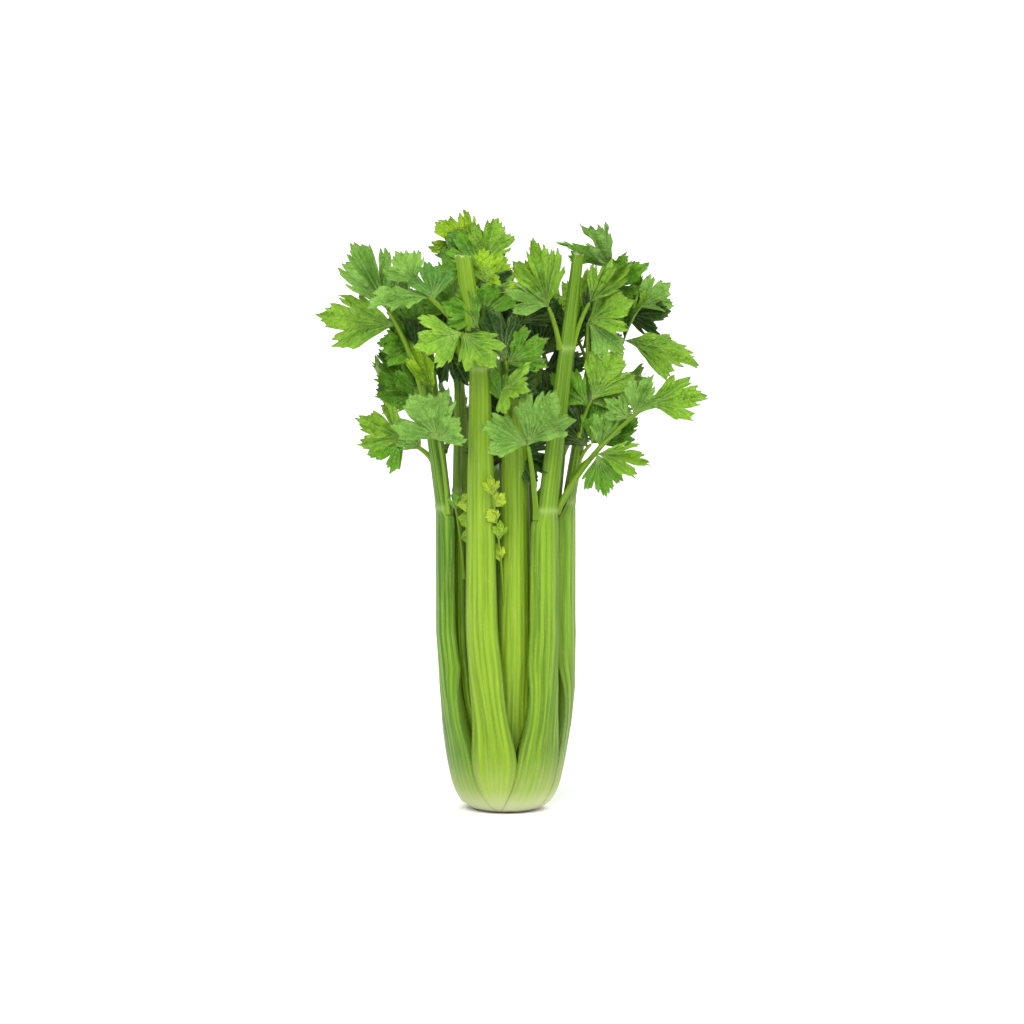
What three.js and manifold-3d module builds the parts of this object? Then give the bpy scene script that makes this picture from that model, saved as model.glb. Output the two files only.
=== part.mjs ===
// A head of celery standing on its cut root end.
// Millimetres, +Z up, the front is -Y, the origin is the middle of the cut face.
// A heading is an angle round the head: 0 is the front, +90 the right, 180 the back.

import * as THREE from 'three';
import { mergeVertices } from 'three/addons/utils/BufferGeometryUtils.js';
import Module from 'manifold-3d';

const wasm = await Module();
wasm.setup();

const GAP = 0.35;                 // clear space kept between neighbouring pieces
const RIB_ARC_STEPS = 4;          // facets across a rib
const STALK_STEPS = 4;            // facets along a side stalk
const BLADE_THICKNESS = 0.8;
const STALK_SIDES = 6;
const STALK_TAPER = 0.35;         // share of its radius that a side stalk loses on the way up
const FOOT_DEPTH = 0.85;          // how far out in its rib a side stalk starts, as a share of the rib's curve
const FOOT_ASIDE = 45; // most degrees round its rib that a stalk leaves, towards its crown
const BEND_OUT = 0.35;            // where a side stalk bends: its share of the way out
const BEND_UP = 0.6;              // and its share of the way up
const SHOULDER = 9;               // height over which a rib narrows to its joint
const TAPER_START = 70;           // a rib narrows a little from this height up to its joint
const RIB_EDGE = 0.8;             // how far a rib thins towards its edges
const WRAP_RATE = 1.7;             // how much sooner a rib takes its own wrap than its own curve
const MOST_WRAP = 0.9;            // a rib is never wider than this share of its own curve's breadth
const MOST_FLESH = 0.85;          // nor thicker than this share of its curve's radius
const LEVEL_MARGIN = 4;           // no level is closer than this below a rib's shoulder
const BUTT_FACETS = 20;
const MERGE = 1e-5;               // points closer than this are one point
const RIB_HEIGHTS = [3, 6, 12, 19, 32, 45, 60, 80, 110];
const SHEATH_TOP = 45;            // the seams between the feet of the outer ribs run straight from here
const BLEND_START = 30;           // below this height the ribs wrap the butt as one sheath
const DRIFT_END = 130;            // above this height a rib keeps its heading
const BLEND_END = 100;            // above this height each rib has its own curve

// The butt: [radius, height], from the axis out, up and back to the axis.
const BUTT_PROFILE = [[0, 0], [14.5, 0], [16.2, 1.5], [17.3, 6], [16.8, 12], [13.5, 18], [9, 24], [4, 28],
  [0, 29]];

// Whorls of ribs. Tables are [height, value] and are read in straight lines between their rows.
const OUTER = {
  envelope: [[1, 20.5], [3, 25], [6, 29], [12, 32.5], [19, 35], [32, 37.8], [45, 40],
    [57, 42], [80, 44.6], [115, 46.6]],
  thickness: [[1, 2], [3, 5.5], [6, 9.5], [12, 11.5], [19, 11], [32, 10], [45, 9.5], [80, 8.9],
    [115, 8.5], [190, 8.5], [300, 7], [360, 6]],
  curve: [[75, 16], [120, 14], [185, 13.5], [235, 10.5], [300, 8.6], [360, 7.2]],
  start: 1,
};
const INNER = {
  envelope: [[16, 21.3], [20, 23.3], [32, 26.8], [45, 30], [100, 35.5]],
  thickness: [[16, 3], [20, 6], [32, 7.5], [64, 7], [200, 5.5], [330, 4]],
  curve: [[75, 13.8], [190, 12.3], [330, 6]],
  start: 16,
};
const HEART = {
  envelope: [[30, 14], [60, 17.5], [120, 20.5]],
  thickness: [[30, 7.5], [120, 6.5], [280, 4]],
  curve: [[75, 8.5], [280, 5]],
  start: 30,
};

// heading and sector: the middle and half the spread of the rib's share of the sheath; foot: the same two
// down at the ground, where they differ; drift: how far the heading turns by mid height;
// width: low down, below the joint, above it and at the top; lean: travel from joint to top, [x, y].
const RIBS = [
  { name: 'rib_front_left', whorl: OUTER, heading: -12, sector: 23, foot: [-11, 1.5], drift: -11,
    width: [24, 15, 13, 11], joint: 285, top: 356, lean: [-10, 2] },
  { name: 'rib_front_right', whorl: OUTER, heading: 36, sector: 25, foot: [20, 29.5], drift: 2,
    width: [24, 21, 16, 8.5], joint: 195, top: 357, lean: [18, -2] },
  { name: 'rib_right', whorl: OUTER, heading: 88, sector: 26.7, foot: [82, 32], drift: -20,
    width: [24, 20, 13, 7.5], joint: 199, top: 300, lean: [16, -2] },
  { name: 'rib_back_right', whorl: OUTER, heading: 141, sector: 26.7, drift: 0,
    width: [23, 19, 12, 8], joint: 205, top: 325, lean: [12, 8] },
  { name: 'rib_back', whorl: OUTER, heading: 195, sector: 26.7, drift: 0,
    width: [24, 20, 13, 9], joint: 215, top: 340, lean: [-4, 10] },
  { name: 'rib_back_left', whorl: OUTER, heading: 248, sector: 26.7, drift: 0,
    width: [23, 19, 11, 8], joint: 200, top: 315, lean: [-12, 6] },
  { name: 'rib_left', whorl: OUTER, heading: -60, sector: 25, foot: [-48.5, 36], drift: -10,
    width: [26, 23.5, 16, 7.5], joint: 195, top: 275, lean: [-10, -4] },
  { name: 'rib_inner_front', whorl: INNER, heading: 11, sector: 35.5, drift: 0,
    width: [23, 17, 13, 8], joint: 240, top: 312, lean: [0, -2] },
  { name: 'rib_inner_right', whorl: INNER, heading: 84, sector: 35.5, drift: -22,
    width: [18, 15, 11, 7], joint: 170, top: 300, lean: [12, -2] },
  { name: 'rib_inner_back_right', whorl: INNER, heading: 156, sector: 35.5, drift: 0,
    width: [18, 15, 9, 7], joint: 210, top: 330, lean: [8, 6] },
  { name: 'rib_inner_back_left', whorl: INNER, heading: 228, sector: 35.5, drift: 0,
    width: [18, 15, 9, 7], joint: 200, top: 322, lean: [-8, 6] },
  { name: 'rib_inner_left', whorl: INNER, heading: 300, sector: 35.5, drift: -10,
    width: [17, 14, 9, 6], joint: 205, top: 318, lean: [2, 4] },
  { name: 'rib_heart_front', whorl: HEART, heading: 0, sector: 58, drift: 0,
    width: [16, 14, 11, 7], joint: 180, top: 290, lean: [0, -2] },
  { name: 'rib_heart_right', whorl: HEART, heading: 120, sector: 58, drift: 0,
    width: [14, 12, 8, 5], joint: 175, top: 280, lean: [4, 2] },
  { name: 'rib_heart_left', whorl: HEART, heading: 240, sector: 58, drift: 0,
    width: [14, 12, 8, 5], joint: 170, top: 285, lean: [-4, 2] },
];

// A sprig: the rib and height that its stalk leaves from, and the crown that it reaches, as
// [heading, distance from the axis, height]. Each leaflet: how far along the stalk it sits (1 is the
// crown), its heading, its rise above level, length, width, and the [heading, rise] that it faces.
const SPRIGS = [
  { name: 'sprig_far_left', rib: 'rib_left', height: 262, crown: [-75, 77, 320], stalk: 2.2, leaflets: [
    [0.8, -82, 8, 52, 40, [5, 20]], [1, -100, 62, 50, 38, [5, 15]]] },
  { name: 'sprig_left_arching', rib: 'rib_front_left', height: 300, crown: [-60, 66, 336], stalk: 2,
    leaflets: [
    [0.75, -70, 0, 42, 30, [0, 60]], [0.7, -110, 80, 26, 32, [5, 10]], [1, -110, 60, 26, 30, [5, 10]]] },
  { name: 'sprig_front_left_broad', rib: 'rib_front_left', height: 295, crown: [-27, 60, 308], stalk: 1.8,
    leaflets: [[1, -70, -14, 32, 38, [-10, 20]], [1, 60, -45, 32, 34, [5, 20]]] },
  { name: 'sprig_front_left_folded', rib: 'rib_front_left', height: 292, crown: [-20, 48, 310], stalk: 1.5,
    leaflets: [[1, -120, 65, 30, 24, [-50, 0]]] },
  { name: 'sprig_top_left_yellow', rib: 'rib_inner_left', height: 300, crown: [-90, 18, 354], stalk: 1.6,
    leaflets: [[1, -95, 38, 35, 38, [0, 15]], [0.85, -60, 52, 28, 36, [5, 22]]] },
  { name: 'sprig_top_left_tall', rib: 'rib_inner_left', height: 305, crown: [-45, 20, 348], stalk: 1.5,
    leaflets: [[1, 90, 75, 32, 32, [0, 10]], [0.9, -85, 62, 30, 30, [0, 12]],
      [0.6, 100, 50, 32, 30, [0, 12]]] },
  { name: 'sprig_left_upright', rib: 'rib_inner_left', height: 285, crown: [-65, 35, 325], stalk: 1.5,
    leaflets: [[1, -100, 75, 33, 30, [0, 10]], [0.7, 95, 60, 32, 30, [0, 10]],
      [0.8, -90, 30, 30, 28, [0, 15]]] },
  { name: 'sprig_left_dark', rib: 'rib_inner_left', height: 268, crown: [-90, 40, 302], stalk: 1.5,
    leaflets: [
    [1, -150, 80, 42, 34, [15, 10]], [0.9, -100, 15, 34, 32, [0, 18]], [0.7, 40, 30, 38, 36, [0, 12]],
    [0.8, 30, -40, 34, 32, [0, 10]]] },
  { name: 'sprig_left_broad', rib: 'rib_left', height: 268, crown: [-82, 55, 300], stalk: 1.6, leaflets: [
    [1, -40, 72, 34, 36, [10, 10]], [1, -95, 50, 32, 20, [10, 10]], [0.9, -60, 5, 32, 32, [0, 20]],
    [0.6, -75, 55, 34, 30, [0, 10]]] },
  { name: 'sprig_top_centre_yellow', rib: 'rib_inner_front', height: 300, crown: [-25, 32, 338], stalk: 1.5,
    leaflets: [[1, 0, 85, 22, 34, [0, 10]], [1, 50, 30, 24, 30, [0, 55]]] },
  { name: 'sprig_centre_curled', rib: 'rib_inner_front', height: 285, crown: [-22, 38, 316], stalk: 1.5,
    leaflets: [[1, 30, 80, 24, 42, [0, 10]], [1, -75, 20, 28, 28, [-10, 15]]] },
  { name: 'sprig_centre_dark', rib: 'rib_inner_front', height: 262, crown: [0, 42, 290], stalk: 1.7,
    leaflets: [
    [1, -70, 70, 36, 38, [5, 10]], [0.9, 75, 30, 32, 32, [0, 15]]] },
  { name: 'sprig_front_right_high', rib: 'rib_front_right', height: 297, crown: [28, 56, 324], stalk: 1.8,
    leaflets: [[1, -60, 75, 44, 34, [5, 10]], [1, -62, 24, 32, 26, [0, 30]], [1, -95, 50, 36, 30, [0, 35]]] },
  { name: 'sprig_centre_stalked', rib: 'rib_inner_front', height: 292, crown: [15, 34, 312], stalk: 1.6,
    leaflets: [[1, -60, 84, 28, 26, [0, 8]], [1, 70, 42, 30, 30, [0, 15]],
    [0.8, -95, 35, 34, 32, [0, 12]]] },
  { name: 'sprig_centre_forked', rib: 'rib_inner_front', height: 238, crown: [-3, 47, 272], stalk: 1.7,
    leaflets: [[1, 40, 14, 24, 46, [0, 45]], [0.7, -70, 70, 25, 18, [-25, 5]],
    [0.8, 85, 40, 28, 26, [0, 12]]] },
  { name: 'sprig_front_centre', rib: 'rib_front_right', height: 190, crown: [14, 57, 238], stalk: 2,
    leaflets: [
    [1, 45, 58, 42, 42, [0, 14]], [1, -72, 22, 35, 36, [0, 38]]] },
  { name: 'sprig_front_left_low', rib: 'rib_left', height: 192, crown: [-43, 61, 240], stalk: 1.8, leaflets: [
    [1, -60, 57, 37, 48, [0, 12]], [1, 50, 42, 20, 30, [0, 12]]] },
  { name: 'sprig_far_left_low', rib: 'rib_left', height: 225, crown: [-80, 64, 237], stalk: 1.9, leaflets: [
    [1, -75, 28, 35, 36, [0, 15]], [1, -65, -12, 27, 38, [0, 35]], [0.5, -70, 45, 22, 22, [0, 12]]] },
  { name: 'sprig_left_pointed', rib: 'rib_left', height: 245, crown: [-95, 54, 266], stalk: 1.7, leaflets: [
    [1, -80, 46, 40, 34, [0, 15]], [0.9, -80, 8, 30, 28, [0, 22]],
    [0.7, -60, 70, 34, 30, [0, 12]]] },
  { name: 'sprig_left_yellow', rib: 'rib_left', height: 246, crown: [-60, 53, 268], stalk: 1.4, leaflets: [
    [1, -70, 65, 38, 18, [20, 10]]] },
  { name: 'sprig_right_stem', rib: 'rib_front_right', height: 193, crown: [66, 97, 262], stalk: 2.1,
    leaflets: [
    [1, 80, 8, 39, 34, [0, 25]], [0.88, 65, 62, 27, 26, [0, 12]], [0.84, -75, 42, 20, 20, [0, 12]],
    [0.55, 50, 70, 29, 22, [0, 12]]] },
  { name: 'sprig_right_under', rib: 'rib_right', height: 222, crown: [68, 58, 236], stalk: 1.5, leaflets: [
    [1, 95, 28, 35, 30, [0, 20]], [1, 60, 64, 32, 30, [0, 12]],
    [0.8, -80, 50, 32, 30, [0, 12]]] },
  { name: 'sprig_right_hanging', rib: 'rib_right', height: 214, crown: [56, 69, 231], stalk: 1.6, leaflets: [
    [1, 40, -68, 28, 28, [0, 15]], [1, 80, -8, 36, 26, [0, 28]]] },
  { name: 'sprig_right_broad', rib: 'rib_right', height: 240, crown: [62, 61, 264], stalk: 1.7, leaflets: [
    [1, 75, 58, 38, 36, [0, 12]], [0.9, 95, 12, 34, 30, [0, 20]],
    [0.8, -90, 45, 32, 28, [0, 12]]] },
  { name: 'sprig_right_lime', rib: 'rib_front_right', height: 296, crown: [55, 64, 326], stalk: 1.7,
    leaflets: [
    [1, 75, 62, 30, 22, [8, 5]], [1, 80, 44, 37, 15, [8, 5]]] },
  { name: 'sprig_top_right_arching', rib: 'rib_right', height: 292, crown: [80, 67, 345], stalk: 1.6,
    leaflets: [[1, -42, 50, 40, 32, [20, 40]], [1, -78, 28, 40, 22, [0, 60]],
    [0.7, 60, 30, 34, 30, [0, 12]]] },
  { name: 'sprig_right_upright', rib: 'rib_right', height: 275, crown: [82, 45, 302], stalk: 1.5, leaflets: [
    [1, 130, 80, 45, 32, [-10, 8]], [0.9, -95, 62, 32, 30, [0, 10]],
    [0.7, 80, 40, 34, 30, [0, 12]]] },
  { name: 'sprig_right_dark', rib: 'rib_right', height: 284, crown: [62, 58, 313], stalk: 1.6, leaflets: [
    [1, 76, 25, 32, 36, [0, 20]], [1, 76, -34, 30, 30, [0, 18]],
    [0.8, 100, 60, 36, 32, [0, 12]]] },
  { name: 'sprig_far_right_drooping', rib: 'rib_right', height: 270, crown: [76, 77, 301], stalk: 1.8,
    leaflets: [[1, 72, -18, 50, 32, [0, 40]], [1, 110, 76, 48, 20, [-30, 0]]] },
  { name: 'sprig_far_right_pale', rib: 'rib_back_right', height: 293, crown: [92, 84, 320], stalk: 1.5,
    leaflets: [[1, 90, 38, 26, 28, [0, 18]], [0.8, 60, 5, 34, 32, [0, 15]]] },
  { name: 'sprig_heart_right', rib: 'rib_heart_right', height: 240, crown: [75, 24, 290], stalk: 1.5,
    leaflets: [
    [1, 80, 60, 40, 36, [0, 10]], [1, -60, 65, 38, 34, [0, 10]], [0.7, 90, 20, 34, 32, [0, 15]],
    [0.8, 60, -40, 34, 32, [0, 10]]] },
  { name: 'sprig_heart_front', rib: 'rib_heart_front', height: 190, crown: [5, 26, 240], stalk: 1.5,
    leaflets: [
    [1, -75, 62, 42, 38, [0, 10]], [1, 70, 55, 42, 38, [0, 10]], [0.7, -85, 10, 30, 28, [0, 15]],
    [0.8, 70, -15, 34, 32, [0, 12]]] },
  { name: 'sprout_centre', rib: 'rib_inner_front', height: 128, crown: [-10, 48, 206], stalk: 0.9, leaflets: [
    [1, -15, 75, 13, 12, [0, 20]], [0.88, 60, 50, 12, 11, [0, 25]], [0.72, -60, 60, 12, 11, [0, 15]],
    [0.58, 20, 70, 13, 11, [10, 20]], [0.4, -50, 70, 13, 10, [0, 15]]] },
  { name: 'sprout_left', rib: 'rib_inner_left', height: 150, crown: [-50, 42, 198], stalk: 0.9, leaflets: [
    [1, 85, 12, 14, 14, [0, 20]], [0.8, 80, -15, 11, 12, [0, 15]], [0.5, 70, 10, 11, 11, [0, 15]],
    [0.9, -30, 75, 13, 10, [0, 15]]] },
];

// Round the back the sprigs follow a rule: two tiers, fanned from the right round to the left.
const BACK_TIERS = [
  { name: 'low', count: 5, height: 215, crown: [62, 250], rise: 35 },
  { name: 'high', count: 5, height: 265, crown: [58, 305], rise: 55 },
];
const BACK_RIBS = ['rib_back_right', 'rib_back_right', 'rib_back', 'rib_back_left', 'rib_back_left'];
const BACK_FIRST_HEADING = 118;
const BACK_HEADING_STEP = 31;
const BACK_TIER_TURN = 8;         // each tier is turned this far past the one below
const BACK_SWAY = [5, 9];         // every other sprig leans out and reaches up by this much more
// The leaflets of a back sprig, with their headings and rises counted from the sprig's own.
const BACK_LEAFLETS = [[1, 0, 0, 40, 36, -25], [1, 62, -15, 34, 32, 20], [0.7, -62, -10, 32, 30, 20]];

// Half of a leaflet's outline as [along, across], in shares of its length and width: a wedge-shaped
// foot, a side lobe, the notch above it and the middle lobe.
const HALF_OUTLINE = [[0, 0.05], [0.66, 0.5], [0.62, 0.25], [0.84, 0.25]];
const MIDRIB = [0, 0.45, 0.6, 0.8];
const DROOP = 0.1;                // how far the tip bends back, as a share of the length
const CUP = 0.1;                  // how far the sides lift, as a share of the width

const BACK = new THREE.Vector3(0, 1, 0);

function read(table, at) {
  if (at <= table[0][0]) return table[0][1];
  for (let i = 1; i < table.length; i += 1) {
    const [x0, y0] = table[i - 1];
    const [x1, y1] = table[i];
    if (at <= x1) return y0 + (y1 - y0) * (at - x0) / (x1 - x0);
  }
  return table[table.length - 1][1];
}

function facing(heading, rise) {
  const h = THREE.MathUtils.degToRad(heading);
  const r = THREE.MathUtils.degToRad(rise);
  return new THREE.Vector3(Math.cos(r) * Math.sin(h), -Math.cos(r) * Math.cos(h), Math.sin(r));
}

// Skins rings of equal length and closes both ends. Each end is filled between its two halves.
function loft(rings) {
  const count = rings[0].length;
  const positions = rings.flat().flatMap((p) => [p.x, p.y, p.z]);
  const index = [];
  for (let r = 0; r < rings.length - 1; r += 1) {
    for (let k = 0; k < count; k += 1) {
      const a = r * count + k;
      const b = r * count + (k + 1) % count;
      index.push(a, b, b + count, a, b + count, a + count);
    }
  }
  const last = (rings.length - 1) * count;
  for (let k = 0; k < count / 2 - 1; k += 1) {
    const far = count - 1 - k;
    index.push(k, far, k + 1, k + 1, far, far - 1);
    index.push(last + k, last + k + 1, last + far, last + k + 1, last + far - 1, last + far);
  }
  return closedGeometry(positions, index);
}

function closedGeometry(positions, index) {
  const geometry = new THREE.BufferGeometry();
  geometry.setAttribute('position', new THREE.Float32BufferAttribute(positions, 3));
  geometry.setIndex(index);
  return geometry;
}

function toSolid(geometry) {
  const bare = geometry.clone();
  bare.deleteAttribute('normal');
  bare.deleteAttribute('uv');
  const merged = mergeVertices(bare, MERGE);
  const solid = new wasm.Manifold(new wasm.Mesh({
    numProp: 3,
    vertProperties: new Float32Array(merged.attributes.position.array),
    triVerts: new Uint32Array(merged.index.array),
  }));
  return solid;
}

// Where a rib's curve is centred at one height, with its radius there.
function ribPlace(rib, z) {
  const { whorl } = rib;
  const blend = THREE.MathUtils.smoothstep(z, BLEND_START, BLEND_END);
  const envelope = read(whorl.envelope, z);
  const ownCurve = Math.min(envelope, read(whorl.curve, z));
  const curve = THREE.MathUtils.lerp(envelope, ownCurve, blend);
  const [footHeading, footSector] = rib.foot ?? [rib.heading, rib.sector];
  const settled = 1 - (1 - Math.min(1, z / SHEATH_TOP)) ** 3;
  const sector = THREE.MathUtils.lerp(footSector, rib.sector, settled);
  const turn = THREE.MathUtils.lerp(footHeading, rib.heading, settled)
    + rib.drift * THREE.MathUtils.smoothstep(z, BLEND_START, DRIFT_END);
  const climb = THREE.MathUtils.clamp((z - rib.joint) / (rib.top - rib.joint), 0, 1);
  const centre = facing(turn, 0).multiplyScalar(envelope - curve);
  centre.x += rib.lean[0] * climb;
  centre.y += rib.lean[1] * climb;
  centre.z = z;
  return { centre, curve, turn, blend, climb, sector };
}

function ribRing(rib, z, grow) {
  const { centre, curve, turn, blend, climb, sector } = ribPlace(rib, z);
  const narrowing = THREE.MathUtils.smoothstep(z, rib.joint - SHOULDER, rib.joint);
  const above = THREE.MathUtils.lerp(rib.width[2], rib.width[3], climb);
  const towardsJoint = THREE.MathUtils.clamp((z - TAPER_START) / (rib.joint - TAPER_START), 0, 1);
  const below = THREE.MathUtils.lerp(rib.width[0], rib.width[1], towardsJoint);
  const width = THREE.MathUtils.lerp(below, above, narrowing);
  const sheath = THREE.MathUtils.degToRad(sector) - GAP / curve;
  const own = Math.asin(Math.min(MOST_WRAP, width / 2 / curve));
  const half = THREE.MathUtils.lerp(sheath, own, 1 - (1 - blend) ** WRAP_RATE) + grow / curve;
  const thickness = Math.min(read(rib.whorl.thickness, z), curve * MOST_FLESH);
  const outer = [];
  const inner = [];
  for (let i = 0; i <= RIB_ARC_STEPS; i += 1) {
    const across = 2 * i / RIB_ARC_STEPS - 1;
    const edge = Math.sqrt(1 - (RIB_EDGE * across * blend) ** 2);
    const away = facing(turn + THREE.MathUtils.radToDeg(half * across), 0);
    outer.push(centre.clone().addScaledVector(away, curve + grow));
    inner.push(centre.clone().addScaledVector(away, curve - thickness * edge - grow));
  }
  return [...outer, ...inner.reverse()];
}

function ribGeometry(rib, grow = 0) {
  const heights = RIB_HEIGHTS.filter((z) => z > rib.whorl.start && z < rib.joint - SHOULDER - LEVEL_MARGIN);
  heights.push(rib.whorl.start);
  heights.push(rib.joint - SHOULDER, rib.joint - SHOULDER / 2, rib.joint, (rib.joint + rib.top) / 2, rib.top);
  const levels = [...new Set(heights)].sort((a, b) => a - b);
  const rings = levels.map((z) => ribRing(rib, z, grow));
  rings[0].forEach((p) => { p.z -= grow; });
  rings[rings.length - 1].forEach((p) => { p.z += grow; });
  return loft(rings);
}

function stalkCurve(sprig) {
  const rib = RIBS.find((one) => one.name === sprig.rib);
  const { centre, curve, turn } = ribPlace(rib, sprig.height);
  const [heading, reach, height] = sprig.crown;
  const crown = facing(heading, 0).multiplyScalar(reach);
  crown.z = height;
  const toCrown = THREE.MathUtils.radToDeg(Math.atan2(crown.x - centre.x, centre.y - crown.y));
  const aside = THREE.MathUtils.euclideanModulo(toCrown - turn + 180, 360) - 180;
  const footTurn = turn + THREE.MathUtils.clamp(aside, -FOOT_ASIDE, FOOT_ASIDE);
  const foot = centre.clone().addScaledVector(facing(footTurn, 0), curve * FOOT_DEPTH);
  const bend = foot.clone().lerp(crown, BEND_OUT);
  bend.z = foot.z + (crown.z - foot.z) * BEND_UP;
  return new THREE.QuadraticBezierCurve3(foot, bend, crown);
}

function stalkGeometry(sprig, grow) {
  const curve = stalkCurve(sprig);
  const rings = [];
  for (let i = 0; i <= STALK_STEPS; i += 1) {
    const along = i / STALK_STEPS;
    const radius = sprig.stalk * (1 - STALK_TAPER * along) + grow;
    const tangent = curve.getTangent(along);
    const side = new THREE.Vector3().crossVectors(tangent, BACK).normalize();
    const front = new THREE.Vector3().crossVectors(side, tangent).normalize();
    const ring = [];
    for (let k = 0; k < STALK_SIDES; k += 1) {
      const angle = -2 * Math.PI * k / STALK_SIDES;
      ring.push(curve.getPoint(along)
        .addScaledVector(side, radius * Math.cos(angle))
        .addScaledVector(front, radius * Math.sin(angle)));
    }
    rings.push(ring);
  }
  return loft(rings);
}

function bladeGeometry(foot, leaflet, grow) {
  const [, heading, rise, length, width, face] = leaflet;
  const along = facing(heading, rise);
  const normal = facing(...face);
  normal.addScaledVector(along, -normal.dot(along)).normalize();
  const side = new THREE.Vector3().crossVectors(along, normal);
  const lift = BLADE_THICKNESS / 2 + grow;
  const place = (u, v, up) => foot.clone()
    .addScaledVector(along, u * length)
    .addScaledVector(side, v * width)
    .addScaledVector(normal, CUP * width * Math.abs(v) - DROOP * length * u * u + up);
  const spread = (u) => (u > 0.5 ? u + grow / length : u);
  const right = HALF_OUTLINE.map(([u, v]) => [spread(u), v + grow / width]);
  const left = HALF_OUTLINE.map(([u, v]) => [spread(u), -v - grow / width]);
  const layer = [...MIDRIB.map((u) => [u, 0]), ...right, ...left, [1 + grow / length, 0]];
  const points = [lift, -lift].flatMap((up) => layer.map(([u, v]) => place(u, v, up)));
  const n = MIDRIB.length;
  const tip = 3 * n;
  const under = layer.length;
  const faces = [];
  for (let i = 0; i < n - 1; i += 1) {
    faces.push([i, i + 1, n + i + 1], [i, n + i + 1, n + i]);
    faces.push([i, 2 * n + i + 1, i + 1], [i, 2 * n + i, 2 * n + i + 1]);
  }
  faces.push([n - 1, tip, 2 * n - 1], [n - 1, 3 * n - 1, tip]);
  const rim = [0];
  for (let i = 0; i < n; i += 1) rim.push(n + i);
  rim.push(tip);
  for (let i = n - 1; i >= 0; i -= 1) rim.push(2 * n + i);
  const index = [];
  faces.forEach(([a, b, c]) => { index.push(a, c, b, a + under, b + under, c + under); });
  for (let i = 0; i < rim.length; i += 1) {
    const a = rim[i];
    const b = rim[(i + 1) % rim.length];
    index.push(b, a, a + under, b, a + under, b + under);
  }
  return closedGeometry(points.flatMap((p) => [p.x, p.y, p.z]), index);
}

// A closed solid whose faces point out, whichever way its rings were wound.
function outward(geometry) {
  const solid = toSolid(geometry);
  if (solid.volume() > 0) return solid;
  const { index } = geometry;
  for (let i = 0; i < index.count; i += 3) {
    const second = index.getX(i + 1);
    index.setX(i + 1, index.getX(i + 2));
    index.setX(i + 2, second);
  }
  return toSolid(geometry);
}

function sprigSolid(sprig, grow = 0) {
  const curve = stalkCurve(sprig);
  let solid = outward(stalkGeometry(sprig, grow));
  sprig.leaflets.forEach((leaflet) => {
    solid = solid.add(outward(bladeGeometry(curve.getPoint(leaflet[0]), leaflet, grow)));
  });
  return solid;
}

function backSprigs() {
  return BACK_TIERS.flatMap((tier, row) => Array.from({ length: tier.count }, (_, i) => {
    const heading = BACK_FIRST_HEADING + BACK_HEADING_STEP * i + BACK_TIER_TURN * row;
    const [reach, height] = tier.crown;
    const sway = i % 2 === 0 ? 1 : -1;
    return {
      name: `sprig_back_${tier.name}_${i + 1}`,
      rib: BACK_RIBS[i],
      height: tier.height + 4 * i,
      crown: [heading, reach + BACK_SWAY[0] * sway, height + BACK_SWAY[1] * sway],
      stalk: 1.8,
      leaflets: BACK_LEAFLETS.map(([at, turn, lift, length, width, up]) => (
        [at, heading + turn, tier.rise + lift, length, width, [heading, up]])),
    };
  }));
}

function boxesMeet(a, b) {
  return [0, 1, 2].every((k) => a.min[k] < b.max[k] && b.min[k] < a.max[k]);
}

function largestPiece(solid) {
  return solid.decompose().reduce((best, one) => (one.volume() > best.volume() ? one : best));
}

const ribMaterial = () => new THREE.MeshStandardMaterial({ color: 0x9cc455, roughness: 0.42, metalness: 0 });
const buttMaterial = () => new THREE.MeshStandardMaterial({ color: 0xd9dcae, roughness: 0.6, metalness: 0 });
const leafMaterial = () => new THREE.MeshStandardMaterial({ color: 0x5a9a33, roughness: 0.5, metalness: 0 });
const sproutMaterial = () => new THREE.MeshStandardMaterial({ color: 0xa6c93a, roughness: 0.5 });

function meshOf(name, solid, material) {
  const { vertProperties, triVerts } = solid.getMesh();
  const mesh = new THREE.Mesh(closedGeometry(Array.from(vertProperties), Array.from(triVerts)), material);
  mesh.geometry.computeVertexNormals();
  mesh.name = name;
  return mesh;
}

function buttSolid(grow) {
  const profile = BUTT_PROFILE.map(([radius, height]) => (
    new THREE.Vector2(radius > 0 ? radius + grow : 0, height)));
  const lathe = new THREE.LatheGeometry(profile, BUTT_FACETS);
  lathe.rotateX(Math.PI / 2);
  return outward(mergeVertices(lathe.deleteAttribute('normal').deleteAttribute('uv'), MERGE));
}

function plan() {
  const pieces = [{ name: 'butt', material: buttMaterial, make: buttSolid }];
  RIBS.forEach((rib) => {
    pieces.push({ name: rib.name, material: ribMaterial, make: (grow) => outward(ribGeometry(rib, grow)) });
  });
  [...SPRIGS, ...backSprigs()].forEach((sprig) => {
    const material = sprig.name.startsWith('sprout') ? sproutMaterial : leafMaterial;
    pieces.push({ name: sprig.name, material, make: (grow) => sprigSolid(sprig, grow) });
  });
  return pieces;
}

// Builds the pieces in order, and cuts each one back from those that were there before it.
function celery() {
  const group = new THREE.Group();
  const placed = [];
  plan().forEach(({ name, material, make }) => {
    let solid = make(0);
    placed.forEach((earlier) => {
      if (!boxesMeet(solid.boundingBox(), earlier.box)) return;
      solid = largestPiece(solid.subtract(earlier.cleared));
    });
    const cleared = make(GAP);
    placed.push({ cleared, box: cleared.boundingBox() });
    group.add(meshOf(name, solid, material()));
  });
  return group;
}

export default celery();
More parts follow.
